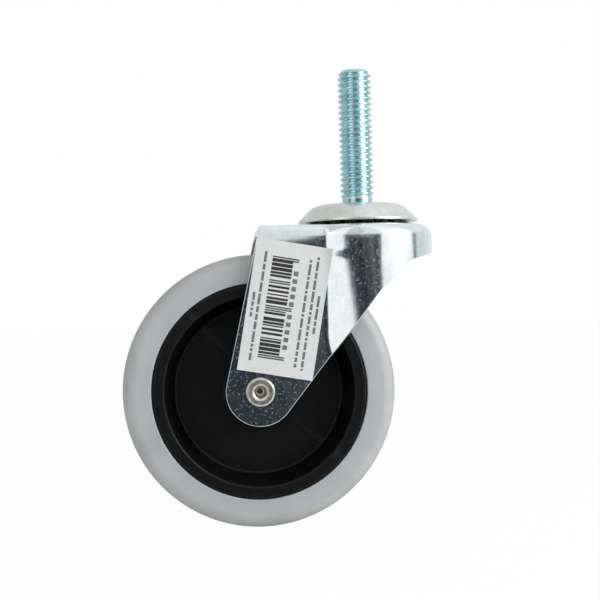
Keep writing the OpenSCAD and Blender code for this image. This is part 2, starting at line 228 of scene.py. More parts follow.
def shader(name):
    """New node material and its parts: nodes, a linking function and the main shader."""
    mat = bpy.data.materials.new(name)
    mat.use_nodes = True
    tree = mat.node_tree
    return mat, tree.nodes, tree.links.new, tree.nodes["Principled BSDF"]


def noise(nodes, link, scale, detail=3.0, stretch=(1, 1, 1), rough=0.55):
    """Noise in the object's own space, stretched along its axes; scale is per metre."""
    place = nodes.new("ShaderNodeTexCoord")
    fit = nodes.new("ShaderNodeMapping")
    fit.inputs["Scale"].default_value = stretch
    tex = nodes.new("ShaderNodeTexNoise")
    tex.inputs["Scale"].default_value = scale
    tex.inputs["Detail"].default_value = detail
    tex.inputs["Roughness"].default_value = rough
    link(place.outputs["Object"], fit.inputs["Vector"])
    link(fit.outputs["Vector"], tex.inputs["Vector"])
    return tex.outputs["Fac"]


def ramp(nodes, link, value, stops):
    """Colour ramp of (position, colour) stops."""
    node = nodes.new("ShaderNodeValToRGB")
    bar = node.color_ramp
    while len(bar.elements) < len(stops):
        bar.elements.new(0.5)
    for e, (at, colour) in zip(bar.elements, stops):
        e.position = at
        e.color = (*colour, 1)
    link(value, node.inputs["Fac"])
    return node.outputs["Color"]


def span(nodes, link, value, low, high, start=0.3, end=0.7):
    """Value mapped from a range of noise to low and high."""
    node = nodes.new("ShaderNodeMapRange")
    node.inputs["From Min"].default_value = start
    node.inputs["From Max"].default_value = end
    node.inputs["To Min"].default_value = low
    node.inputs["To Max"].default_value = high
    link(value, node.inputs["Value"])
    return node.outputs["Result"]


def from_axle(nodes, link):
    """Distance from the axle in the object's own space, as a share of the wheel's radius."""
    place = nodes.new("ShaderNodeTexCoord")
    fit = nodes.new("ShaderNodeMapping")
    fit.inputs["Location"].default_value = (-AXLE.x / WHEEL_R, 0, -AXLE.z / WHEEL_R)
    fit.inputs["Scale"].default_value = (1 / (WHEEL_R * MM), 0, 1 / (WHEEL_R * MM))
    far = nodes.new("ShaderNodeVectorMath")
    far.operation = "LENGTH"
    link(place.outputs["Object"], fit.inputs["Vector"])
    link(fit.outputs["Vector"], far.inputs[0])
    return far.outputs["Value"]


def bumps(nodes, link, bsdf, layers):
    """Chain of bumps from (height, strength, depth in millimetres) layers."""
    last = None
    for height, strength, depth in layers:
        node = nodes.new("ShaderNodeBump")
        node.inputs["Strength"].default_value = strength
        node.inputs["Distance"].default_value = depth * MM
        link(height, node.inputs["Height"])
        if last:
            link(last, node.inputs["Normal"])
        last = node.outputs["Normal"]
    link(last, bsdf.inputs["Normal"])


def worn(nodes, link, colour, bright, low=0.53, high=0.6):
    """Colour that turns bright along worn edges."""
    geo = nodes.new("ShaderNodeNewGeometry")
    mix = nodes.new("ShaderNodeMix")
    mix.data_type = "RGBA"
    edge = span(nodes, link, geo.outputs["Pointiness"], 0.0, 0.8, low, high)
    link(edge, mix.inputs["Factor"])
    link(colour, mix.inputs["A"])
    mix.inputs["B"].default_value = (*bright, 1)
    return mix.outputs["Result"]


def blend(nodes, link, kind, a, b):
    """Two colours joined in full by a kind of blend."""
    mix = nodes.new("ShaderNodeMix")
    mix.data_type = "RGBA"
    mix.blend_type = kind
    mix.inputs["Factor"].default_value = 1.0
    link(a, mix.inputs["A"])
    link(b, mix.inputs["B"])
    return mix.outputs["Result"]


def zinc(name, dull, bright, rough, waves=0.05):
    """Bright zinc plate: mottled tint, hazy patches, fine rubbing marks and the sheet's slight waves."""
    mat, nodes, link, bsdf = shader(name)
    specks = noise(nodes, link, 1300, 5, rough=0.65)
    link(span(nodes, link, specks, 1.0, 0.74, 0.55, 0.68), bsdf.inputs["Metallic"])
    mottle = noise(nodes, link, 420, 5)
    colour = ramp(nodes, link, mottle, [(0.32, dull), (0.68, bright)])
    link(worn(nodes, link, colour, [min(1, c * 1.12) for c in bright]), bsdf.inputs["Base Color"])
    haze = noise(nodes, link, 900, 6, rough=0.7)
    link(span(nodes, link, haze, rough[0], rough[1]), bsdf.inputs["Roughness"])
    bumps(nodes, link, bsdf, [
        (noise(nodes, link, 90, 2), waves, 1.0),
        (noise(nodes, link, 330, 3, (1, 1, 0.16)), waves, 0.35),
        (noise(nodes, link, 1500, 3, (1, 1, 0.12)), 0.05, 0.05),
        (noise(nodes, link, 3200, 2), 0.06, 0.02),
    ])
    return mat


def steel(name, dull, bright, rough):
    """Plain turned steel: fine marks round the axle and small stains."""
    mat, nodes, link, bsdf = shader(name)
    bsdf.inputs["Metallic"].default_value = 1.0
    stain = noise(nodes, link, 700, 5)
    colour = ramp(nodes, link, stain, [(0.3, dull), (0.7, bright)])
    link(worn(nodes, link, colour, [min(1, c * 1.1) for c in bright]), bsdf.inputs["Base Color"])
    link(span(nodes, link, noise(nodes, link, 1600, 4), rough[0], rough[1]), bsdf.inputs["Roughness"])
    bumps(nodes, link, bsdf, [
        (noise(nodes, link, 2600, 3, (1, 0.2, 1)), 0.10, 0.03),
        (noise(nodes, link, 500, 2), 0.05, 0.1),
    ])
    return mat


def hub_plastic():
    """Matt black moulding with a fine spark-eroded grain and faint dust."""
    mat, nodes, link, bsdf = shader("hub_plastic")
    dust = noise(nodes, link, 300, 6, rough=0.65)
    colour = ramp(nodes, link, dust, [(0.35, (0.0016, 0.0016, 0.0017)), (0.75, (0.0032, 0.0033, 0.0036))])
    link(worn(nodes, link, colour, (0.012, 0.013, 0.015), 0.54, 0.64), bsdf.inputs["Base Color"])
    link(span(nodes, link, noise(nodes, link, 700, 4), 0.40, 0.52), bsdf.inputs["Roughness"])
    bsdf.inputs["Specular IOR Level"].default_value = 0.24
    bumps(nodes, link, bsdf, [(noise(nodes, link, 5200, 2), 0.16, 0.03)])
    return mat


def tyre_rubber():
    """Mottled pale grey thermoplastic rubber with painted shade: cooler by the hub, greyer at the tread."""
    mat, nodes, link, bsdf = shader("tyre_rubber")
    cloud = noise(nodes, link, 120, 5)
    colour = ramp(nodes, link, cloud, [(0.3, (0.447, 0.462, 0.457)), (0.7, (0.508, 0.521, 0.514))])
    # Painted shade by distance from the axle: a cool tint by the hub, a darker warmer grey on the shoulders
    tint = ramp(nodes, link, from_axle(nodes, link), [
        (0.80, (0.865, 0.907, 0.977)), (0.87, (0.930, 0.953, 1.0)), (0.935, (0.956, 0.951, 0.966)),
        (0.965, (0.930, 0.921, 0.909)), (0.99, (0.851, 0.826, 0.814)),
    ])
    link(blend(nodes, link, "MULTIPLY", colour, tint), bsdf.inputs["Base Color"])
    link(span(nodes, link, noise(nodes, link, 600, 4), 0.38, 0.55), bsdf.inputs["Roughness"])
    bsdf.inputs["Specular IOR Level"].default_value = 0.4
    bsdf.inputs["Subsurface Weight"].default_value = 0.25
    bsdf.inputs["Subsurface Radius"].default_value = (1.0, 0.95, 0.9)
    bsdf.inputs["Subsurface Scale"].default_value = 2.0 * MM
    bumps(nodes, link, bsdf, [
        (noise(nodes, link, 4200, 2), 0.08, 0.02),
        (noise(nodes, link, 260, 3), 0.08, 0.10),
    ])
    return mat


def paper():
    """White label paper with a faint fibre and a little unevenness."""
    mat, nodes, link, bsdf = shader("label_paper")
    fibre = noise(nodes, link, 2200, 5)
    colour = ramp(nodes, link, fibre, [(0.3, (0.645, 0.652, 0.652)), (0.7, (0.71, 0.717, 0.717))])
    link(colour, bsdf.inputs["Base Color"])
    link(span(nodes, link, noise(nodes, link, 900, 3), 0.5, 0.65), bsdf.inputs["Roughness"])
    bsdf.inputs["Specular IOR Level"].default_value = 0.3
    bumps(nodes, link, bsdf, [(fibre, 0.1, 0.02), (noise(nodes, link, 120, 2), 0.12, 0.2)])
    return mat


def ink(name, dark, light):
    """Printing ink, slightly uneven where the paper shows through."""
    mat, nodes, link, bsdf = shader(name)
    blot = noise(nodes, link, 3000, 4)
    link(ramp(nodes, link, blot, [(0.35, dark), (0.75, light)]), bsdf.inputs["Base Color"])
    link(span(nodes, link, noise(nodes, link, 1500, 2), 0.4, 0.55), bsdf.inputs["Roughness"])
    bsdf.inputs["Specular IOR Level"].default_value = 0.3
    return mat


STEM_ZINC = zinc("stem_zinc", (0.42, 0.64, 0.68), (0.60, 0.85, 0.90), (0.16, 0.30))
CAP_ZINC = zinc("cap_zinc", (0.74, 0.76, 0.73), (0.84, 0.86, 0.83), (0.24, 0.36))
FORK_ZINC = zinc("fork_zinc", (0.80, 0.86, 0.88), (0.90, 0.95, 0.96), (0.08, 0.18), 0.09)
LEVER_ZINC = zinc("lever_zinc", (0.66, 0.73, 0.75), (0.82, 0.87, 0.88), (0.14, 0.28))
AXLE_STEEL = steel("axle_steel", (0.50, 0.45, 0.40), (0.84, 0.79, 0.73), (0.30, 0.46))
# Near-black steel for the balls: painted shade of the dark gap under the cap, with dark grease
RACE_STEEL_GREASE_AND_PAINTED_SHADE = steel("race_steel", (0.025, 0.023, 0.020), (0.10, 0.095, 0.09), (0.25, 0.45))
HUB_PLASTIC = hub_plastic()
TYRE_RUBBER = tyre_rubber()
PAPER = paper()
INK = ink("label_ink", (0.018, 0.018, 0.02), (0.06, 0.06, 0.065))
PALE_INK = ink("label_pale_ink", (0.12, 0.12, 0.13), (0.24, 0.24, 0.25))


# Stem: rolled thread, plain neck, chamfered tip, and the kingpin with its peened end below the seat

def thread_r(angle, z):
    """Radius of the thread's flanks at an angle and height, with rounded roots and flat crests."""
    turn = (z / THREAD_PITCH - angle / (2 * math.pi)) % 1.0
    flank = abs(turn - 0.5) * 2
    height = clamped((flank - 0.16) / 0.68)
    height = height * height * (3 - 2 * height) * 0.4 + height * 0.6
    fade = clamped((z - NECK_PLAIN) / (1.2 * THREAD_PITCH))
    r = STEM_R - THREAD_DEPTH + THREAD_DEPTH * height
    r = r * fade + (STEM_R - 0.42) * (1 - fade)
    tip = STEM_R - STEM_CHAMFER + (STEM_L - z)
    return min(r, tip)


def build_stem():
    segments = 72
    rows = []
    dome_r = (PEEN_R ** 2 + PEEN_H ** 2) / (2 * PEEN_H)
    for k in range(1, 9):
        r = PEEN_R * k / 8
        rows.append((r, CUP_BACK_Z - PEEN_H + dome_r - math.sqrt(dome_r ** 2 - r * r)))
    rows += [
        (PEEN_R - 0.1, CUP_BACK_Z), (KINGPIN_END_R, CUP_BACK_Z), (KINGPIN_END_R, CUP_FLOOR_Z),
        (KINGPIN_R - 0.2, CUP_FLOOR_Z), (KINGPIN_R, CUP_FLOOR_Z + 0.2), (KINGPIN_R, -CAP_SHEET - 0.2),
        (KINGPIN_R - 0.2, -CAP_SHEET), (COLLAR_R, -CAP_SHEET), (COLLAR_R, -0.25), (COLLAR_R - 0.25, 0.0),
        (STEM_R - 0.2, 0.0),
    ]
    verts, faces = [(0, 0, CUP_BACK_Z - PEEN_H)], []
    rings = []

    def ring(z, radius):
        """Ring of vertices at a height, its radius a function of the angle."""
        rings.append(len(verts))
        for i in range(segments):
            a = 2 * math.pi * i / segments
            r = radius(a)
            verts.append((r * math.cos(a), r * math.sin(a), z))

    for r, z in rows:
        ring(z, lambda a: r)
    steps = 15
    count = int(STEM_L / THREAD_PITCH * steps)
    for k in range(1, count + 1):
        z = STEM_L * k / count
        ring(z, lambda a: thread_r(a, z))
    top = len(verts)
    verts.append((0, 0, STEM_L))
    for i in range(segments):
        j = (i + 1) % segments
        faces.append((0, rings[0] + j, rings[0] + i))
        for low, high in zip(rings, rings[1:]):
            faces.append((low + i, low + j, high + j, high + i))
        faces.append((rings[-1] + i, rings[-1] + j, top))
    obj = piece("rolled_stem", "stem", "threaded_stem", verts, faces, [STEM_ZINC])
    obj.data.set_sharp_from_angle(angle=math.radians(42))
    return obj


# Cap: flat seat, bend, 45 degree flank and a rolled brim

def build_cap():
    brim_r = FLANK_R + CAP_H
    root = math.sqrt(2) * CAP_SHEET
    corners = [
        (COLLAR_R + 0.05, 0.0, 0.25),
        (COLLAR_R + 0.05, -CAP_SHEET, 0.15),
        (FLANK_R - root + CAP_SHEET, -CAP_SHEET, CAP_BEND_R - CAP_SHEET),
        (FLANK_R - root + CAP_H, -CAP_H, 0.35),
        (brim_r, -CAP_H, 0.42),
        (FLANK_R, 0.0, CAP_BEND_R),
    ]
    return turned("pressed_cap", "stem", "top_cap", CAP_ZINC, corners, on_stem, 8, 128)


# Hub: rim, dished web and boss, the same on both faces

def build_hub():
    edge = 0.9
    dish = HUB_R - RIM_T
    half = [
        (HUB_R + KEY_H, KEY_HALF, 0.2),
        (HUB_R, KEY_HALF, 0.2),
        (HUB_R, TYRE_HALF + 0.05, edge),
        (dish + 0.2, TYRE_HALF + 0.05, edge),
        (dish - DISH_DRAFT, WEB_HALF, 1.0),
        (BOSS_R + 0.5, WEB_HALF, 0.9),
        (BOSS_R, HUB_HALF, 0.4),
        (BORE_R, HUB_HALF, 0.3),
    ]
    corners = half + [(x, -y, r) for x, y, r in reversed(half)]
    return turned("moulded_hub", "wheel", "hub", HUB_PLASTIC, corners, on_axle, 6, 160)


# Tyre: flat sides, rounded shoulders and a very slightly crowned tread

def build_tyre():
    half = [
        (WHEEL_R, 4.0, 60.0),
        (WHEEL_R - 0.12, TYRE_HALF, SHOULDER_R + 0.6),
        (HUB_R + 0.06, TYRE_HALF, 0.35),
        (HUB_R + 0.06, KEY_HALF + 0.06, 0.2),
        (HUB_R + KEY_H + 0.06, KEY_HALF + 0.06, 0.2),
    ]
    corners = [(x, -y, r) for x, y, r in reversed(half)] + half
    return turned("moulded_tyre", "wheel", "tyre", TYRE_RUBBER, corners, on_axle, 10, 192)


# Axle rivet: rolled end with a funnel on the near side, plain rounded head on the far side

def build_rivet():
    face = -LEG_Y
    corners = [
        (RIVET_HOLE_R, face - RIVET_H + RIVET_HOLE_H, 0.1),
        (RIVET_HOLE_R, face - RIVET_H - 0.02, 1.15),
        (RIVET_R, face - RIVET_H - 0.02, 1.0),
        (RIVET_R, face - 0.02, 0.25),
        (AXLE_R, face - 0.02, 0.1),
        (AXLE_R, HEAD_Y, 0.1),
        (HEAD_R, HEAD_Y, 0.25),
        (HEAD_R, HEAD_Y + HEAD_H, 1.1),
        (0.02, HEAD_Y + HEAD_H, 0.0),
        (0.02, face - RIVET_H + RIVET_HOLE_H, 0.0),
    ]
    return turned("rolled_rivet", "fork", "axle_rivet", AXLE_STEEL, corners, on_axle, 6, 72)


# Fork: one sheet, meshed on its outer face and carried through its thickness, with rounded cut edges

NECK_Y = LEG_Y + NECK_R
NECK_X = -math.sqrt((CROWN_R + NECK_R) ** 2 - NECK_Y ** 2)
NECK_TURN = math.atan2(-NECK_X, NECK_Y)
FRONT_L = CROWN_R * (math.pi / 2 + NECK_TURN)
NECK_L = NECK_R * NECK_TURN
BEND_Z = CROWN_Z - CROWN_BEND_R


def plan(run):
    """Point and outward normal of the near half of the fork's plan, at a distance from its very front."""
    if run <= FRONT_L:
        a = run / CROWN_R
        n = Vector((math.cos(a), -math.sin(a)))
        return n * CROWN_R, n
    if run <= FRONT_L + NECK_L:
        b = math.pi / 2 - NECK_TURN + (run - FRONT_L) / NECK_R
        n = Vector((-math.cos(b), -math.sin(b)))
        return Vector((NECK_X, -NECK_Y)) - n * NECK_R, n
    return Vector((NECK_X - (run - FRONT_L - NECK_L), -LEG_Y)), Vector((0, -1))


def run_at(x):
    """Distance from the front at which the near half of the plan has this x."""
    join = CROWN_R * math.cos(math.pi / 2 + NECK_TURN)
    if x >= join:
        return CROWN_R * math.acos(min(1.0, x / CROWN_R))
    if x >= NECK_X:
        return FRONT_L + NECK_R * (math.acos(min(1.0, (x - NECK_X) / NECK_R)) - math.pi / 2 + NECK_TURN)
    return FRONT_L + NECK_L + NECK_X - x


def side_edge():
    """Free edge of a leg from the side, from the rear of the bend to the very front, and its rear's lean."""
    axle = Vector((AXLE.x, AXLE.z))
    top = Vector((-CROWN_REAR, CROWN_Z))
    rise = top - axle
    a = math.atan2(rise.y, rise.x) + math.acos(LEG_END_R / rise.length)
    foot = axle + LEG_END_R * Vector((math.cos(a), math.sin(a)))
    lean = (foot - top) / (foot - top).y
    start = top + lean * (BEND_Z - CROWN_Z)
    points = [start + (foot - start) * k / 36 for k in range(36)]
    b = LEG_SLOPE - math.pi / 2 + 2 * math.pi
    points += [axle + LEG_END_R * Vector((math.cos(a + (b - a) * k / 36), math.sin(a + (b - a) * k / 36)))
               for k in range(36)]
    front = axle + LEG_END_R * Vector((math.sin(LEG_SLOPE), -math.cos(LEG_SLOPE)))
    brow = front + Vector((1, math.tan(LEG_SLOPE))) * (BROW_X - front.x)
    s, t = math.tan(BROW_SLOPE), math.tan(SKIRT_SLOPE)
    x = brow.x + (SKIRT_Z - brow.y - (CROWN_R - brow.x) * t) / (s - t)
    corner = Vector((x, brow.y + (x - brow.x) * s))
    last = Vector((CROWN_R, SKIRT_Z))
    steps = 8
    arcs, _ = rounded([(front.x, front.y, 0.0), (last.x, last.y, 0.0), (corner.x, corner.y, 1.6),
                       (brow.x, brow.y, 16.0)], steps)
    runs = [front, *reversed(arcs[2 * (steps + 1):]), last]
    for p, q in zip(runs, runs[1:]):
        n = max(1, int((q - p).length / 0.9))
        points += [p + (q - p) * k / n for k in range(n)]
    return points + [last], lean.x


def inside(p, loop):
    """Whether a point lies inside a loop."""
    hit = False
    for a, b in zip(loop, loop[1:] + loop[:1]):
        if (a.y > p.y) != (b.y > p.y) and p.x < a.x + (p.y - a.y) / (b.y - a.y) * (b.x - a.x):
            hit = not hit
    return hit


def shrunk(loop, fixed, by):
    """Clockwise or anticlockwise loop moved inwards at its free points."""
    area = sum(a.x * b.y - b.x * a.y for a, b in zip(loop, loop[1:] + loop[:1]))
    sign = 1 if area > 0 else -1
    out = []
    for i, p in enumerate(loop):
        if fixed[i]:
            out.append(p.copy())
            continue
        a = (p - loop[i - 1]).normalized()
        b = (loop[(i + 1) % len(loop)] - p).normalized()
        n = (Vector((-a.y, a.x)) + Vector((-b.y, b.x))).normalized() * sign
        out.append(p + n * by / max(0.5, n.dot(Vector((-a.y, a.x)) * sign)))
    return out


def filling(points, loop, holes, gap):
    """Points inside a loop and outside its holes that keep a gap from their corners."""
    rims = [q for ring in (loop, *holes) for q in ring]
    return [p for p in points if inside(p, loop) and not any(inside(p, h) for h in holes)
            and min((p - q).length for q in rims) > gap]


def triangles(loops, extra, rings=()):
    """Points and triangles that fill the first loop, less the others, with extra points and rings inside."""
    pts, edges = [], []
    for loop in list(loops) + list(rings):
        n = len(pts)
        pts += loop
        edges += [(n + i, n + (i + 1) % len(loop)) for i in range(len(loop))]
    pts += extra
    co, _, tris, *_ = delaunay_2d_cdt(pts, edges, [], 0, 1e-5)
    keep = []
    for t in tris:
        c = (co[t[0]] + co[t[1]] + co[t[2]]) / 3
        if inside(c, loops[0]) and not any(inside(c, h) for h in loops[1:]):
            a, b, d = (co[i] for i in t)
            area = (b - a).cross(d - a)
            if abs(area) > 1e-9:
                keep.append(tuple(t) if area > 0 else tuple(reversed(t)))
    return co, keep


class Sheet:
    """Sheet of metal as triangles and quads with an outer and an inner point and normal at each corner."""

    def __init__(self):
        self.index, self.corners, self.faces = {}, [], []

    def add(self, outer, inner, normal, back):
        key = tuple(round(c, 3) for c in (*outer, *inner))
        if key not in self.index:
            self.index[key] = len(self.corners)
            self.corners.append((outer, inner, normal.normalized(), back.normalized()))
        return self.index[key]

    def face(self, ids, flip=False):
        ids = list(dict.fromkeys(ids))
        if len(ids) > 2:
            self.faces.append(tuple(reversed(ids)) if flip else tuple(ids))

    def solid(self, edge_r, steps=4):
        """Vertices, normals and faces of the sheet with its cut edges rounded."""
        n = len(self.corners)
        verts = [c[0] for c in self.corners] + [c[1] for c in self.corners]
        normals = [c[2] for c in self.corners] + [c[3] for c in self.corners]
        faces = list(self.faces) + [tuple(n + i for i in reversed(f)) for f in self.faces]
        used = {(f[i], f[(i + 1) % len(f)]) for f in self.faces for i in range(len(f))}
        rim = [e for e in used if (e[1], e[0]) not in used]
        out = {}
        for a, b in rim:
            way = (self.corners[b][0] - self.corners[a][0]).cross(
                self.corners[a][2] + self.corners[b][2]).normalized()
            out.setdefault(a, []).append(way)
            out.setdefault(b, []).append(way)
        strip = {}
        for i, ways in out.items():
            way = sum(ways, Vector()).normalized()
            reach = edge_r / max(0.6, way.dot(ways[0]))
            p, q, up, down = self.corners[i]
            row = [i]
            for k in range(1, 2 * steps + 2):
                first = k <= steps
                t = math.pi / 2 * (k if first else 2 * steps + 1 - k) / steps
                base, face = (p, up) if first else (q, down)
                row.append(len(verts))
                verts.append(base + way * reach * math.sin(t) - face * edge_r * (1 - math.cos(t)))
                normals.append(face * math.cos(t) + way * math.sin(t))
            row[-1] = n + i
            strip[i] = row
        for a, b in rim:
            ra, rb = strip[a], strip[b]
            for k in range(len(ra) - 1):
                faces.append((ra[k], ra[k + 1], rb[k + 1], rb[k]))
        return verts, normals, faces


# Press marks on the fork's outer face, made by its normals and fitted to the photograph
LIFT_TURN = (3, 9)
LIFT_L = 16
LIFT_DEPTH = 1.5
SWELL_TURN = math.radians(7)
SWELL_L = 14
SWELL_DEPTH = 20
FADE_L = 4.5
FADE_START = 24
FADE_DEPTH = 9
DENT_L = 9
DENT_START = 5
DENT_DEPTH = 1.1
DENT_LEVEL = 0.43


def eased(run, n, z):
    """Outward normal of the wall: lifted under the bend, its neck widened, dented and faded below."""
    ahead = FRONT_L - run
    inward = ahead + NECK_L
    below = BEND_Z - z
    behind = clamped((run - FRONT_L - NECK_L) / LIFT_L)
    up = math.radians(LIFT_TURN[0] + LIFT_TURN[1] * behind) * math.exp(-max(0.0, below) / LIFT_DEPTH)
    swell = math.sin(math.pi * (ahead / SWELL_L) ** 0.9) if 0 < ahead < SWELL_L else 0.0
    turn = SWELL_TURN * swell * (clamped(below / SWELL_DEPTH, 0.0, 1.2) - 0.45)
    c, s = math.cos(turn), math.sin(turn)
    flat = Vector((n.x * c + n.y * s, n.y * c - n.x * s))
    fade = FADE_L * clamped((below - FADE_START) / FADE_DEPTH) ** 2
    level = 1 - inward / fade if 0 < inward < fade else 0.0
    if inward > 0.5 and ahead < DENT_L:
        level = max(level, DENT_LEVEL * math.exp(-((below - DENT_START) / DENT_DEPTH) ** 2))
    flat = flat.lerp(Vector((0, -1)), level).normalized()
    return Vector((flat.x * math.cos(up), flat.y * math.cos(up), math.sin(up)))


def build_fork():
    sheet = Sheet()
    edge, lean = side_edge()

    def wall(run, z, side):
        p, n = plan(run)
        q = p - n * SHEET
        out = eased(run, n, z)
        return sheet.add(Vector((p.x, p.y * side, z)), Vector((q.x, q.y * side, z)),
                         Vector((out.x, out.y * side, out.z)), Vector((-n.x, -n.y * side, 0)))

    # columns of the bend, from the rear to the very front
    columns = [run_at(x) for x in range(1 - int(CROWN_REAR), int(NECK_X))]
    columns += [FRONT_L + NECK_L * k / 5 for k in range(5, 0, -1)]
    columns += [FRONT_L * k / 44 for k in range(44, -1, -1)]

    # free loop of a wall: bend line from the rear to the front, then the free edge back
    rear_run = run_at(edge[0].x)
    top = [Vector((-c, BEND_Z)) for c in [rear_run - EDGE_R] + columns]
    free = [Vector((-run_at(p.x), p.y)) for p in edge]
    loop = top + [Vector((0.0, SKIRT_Z))] + list(reversed(free[1:-1]))
    fixed = [True] * len(top) + [False] * (len(loop) - len(top))
    loop = shrunk(loop, fixed, EDGE_R)
    loop[len(top)] = Vector((0.0, SKIRT_Z + EDGE_R))
    hole_c = Vector((-run_at(AXLE.x), AXLE.z))
    turns = [2 * math.pi * k / 40 for k in range(40)]
    hole = [hole_c + (AXLE_R + 0.1) * Vector((math.cos(a), math.sin(a))) for a in turns]
    spread = [Vector((i - 0.03, BEND_Z - 1.1 * j)) for i in range(-74, 1) for j in range(1, 48)]
    co, tris = triangles([loop, hole], filling(spread, loop, [hole], 0.55))
    for side in (1, -1):
        ids = [wall(max(0.0, -p.x), p.y, side) for p in co]
        for t in tris:
            sheet.face([ids[i] for i in t], side < 0)

    # bend between the walls and the crown
    steps = 8
    ring_of = {}
    for side in (1, -1):
        rows = []
        for k in range(steps + 1):
            t = math.pi / 2 * k / steps
            z = BEND_Z + CROWN_BEND_R * math.sin(t)
            zi = BEND_Z + (CROWN_BEND_R - SHEET) * math.sin(t)
            runs = [run_at(-CROWN_REAR + lean * (z - CROWN_Z)) - EDGE_R] + columns
            row = []
            for run in runs:
                p, n = plan(run)
                o = p - n * CROWN_BEND_R * (1 - math.cos(t))
                q = p - n * (CROWN_BEND_R - (CROWN_BEND_R - SHEET) * math.cos(t))
                up = Vector((n.x * math.cos(t), n.y * side * math.cos(t), math.sin(t)))
                if k == 0:
                    out = eased(run, n, z)
                    up = Vector((out.x, out.y * side, out.z))
                row.append(sheet.add(Vector((o.x, o.y * side, z)), Vector((q.x, q.y * side, zi)), up, -up))
            rows.append(row)
        for low, high in zip(rows, rows[1:]):
            for i in range(len(low) - 1):
                sheet.face((low[i], low[i + 1], high[i + 1], high[i]), side < 0)
        ring_of[side] = rows[-1]

    # crown with its hole and the pressed ball groove
    near = [sheet.corners[i][0].xy for i in ring_of[1]]
    far = [sheet.corners[i][0].xy for i in ring_of[-1]]
    rear_x = near[0].x
    rear = [Vector((rear_x, far[0].y + (near[0].y - far[0].y) * k / 24)) for k in range(1, 24)]
    outline = near + list(reversed(far))[1:] + rear

    back_r = RACE_R + SHEET
    lip = math.sqrt(RACE_R ** 2 - (CROWN_Z - BALL_Z) ** 2)
    back_lip = math.sqrt(back_r ** 2 - (CROWN_Z - SHEET - BALL_Z) ** 2)
    rise = math.sqrt(RACE_R ** 2 - (CROWN_Z + LIP_H - BALL_Z) ** 2)
    ridge = RACE_R + LIP_W
    offsets = [-back_lip, -lip - 0.3, -lip, -1.3, -0.65, 0.0, 0.65, 1.3, rise, rise + 0.12, rise + 0.3]
    offsets += [ridge + d for d in (-0.45, -0.2, 0.0, 0.2, 0.4, 0.65)]
    rings = [circle(BALL_PITCH_R + d, 72) for d in offsets]
    spread = [Vector((1.2 * i + 0.03, 1.2 * j + 0.02)) for i in range(-28, 20) for j in range(-16, 17)]
    spread = [p for p in spread if p.length > BALL_PITCH_R + ridge + 1.0]
    grid = filling(spread, outline, [], 0.6)
    co, tris = triangles([outline, circle(CROWN_HOLE_R + EDGE_R, 72)], grid, rings)
    ids = []
    for p in co:
        r = p.length
        d = r - BALL_PITCH_R
        way = p / r
        z, up = CROWN_Z, Vector((0, 0, 1))
        if -lip + 1e-4 < d < rise - 1e-4:
            drop = math.sqrt(RACE_R ** 2 - d * d)
            z, up = BALL_Z - drop, Vector((-way.x * d, -way.y * d, drop))
        elif d >= rise - 1e-4:
            t = clamped((d - ridge + 0.45) / 1.1)
            z = CROWN_Z + LIP_H * (1 - t * t * (3 - 2 * t))
            up = Vector((0, 0, 1)) + Vector((way.x, way.y, 0)) * (LIP_H * 6 * t * (1 - t) / 1.1)
            if d < rise + 0.05:
                up = up - Vector((way.x, way.y, 0)) * 0.8
        zi, down = CROWN_Z - SHEET, Vector((0, 0, -1))
        if abs(d) < back_lip - 1e-4:
            drop = math.sqrt(back_r ** 2 - d * d)
            zi, down = BALL_Z - drop, Vector((way.x * d, way.y * d, -drop))
        ids.append(sheet.add(Vector((p.x, p.y, z)), Vector((p.x, p.y, zi)), up, down))
    for t in tris:
        sheet.face([ids[i] for i in t])
    verts, normals, faces = sheet.solid(EDGE_R)
    return piece("pressed_fork", "fork", "fork", verts, faces, [FORK_ZINC], normals)


# Lever: one sheet, flat outline with a bead, a bend and the foot tab, meshed as it lies before bending

def bead_rise(r):
    """Height of the lever's bead and its slope, at a distance from the bead's spine."""
    if r < BEAD_FOOT:
        root = math.sqrt(BEAD_R ** 2 - r * r)
        return root - BEAD_R + BEAD_H, -r / root
    root = math.sqrt(BEAD_R ** 2 - BEAD_FOOT ** 2)
    high, steep = root - BEAD_R + BEAD_H, -BEAD_FOOT / root * BEAD_FILLET
    t = min((r - BEAD_FOOT) / BEAD_FILLET, 1.0)
    height = high * (2 * t ** 3 - 3 * t * t + 1) + steep * (t ** 3 - 2 * t * t + t)
    return height, (high * (6 * t * t - 6 * t) + steep * (3 * t * t - 4 * t + 1)) / BEAD_FILLET


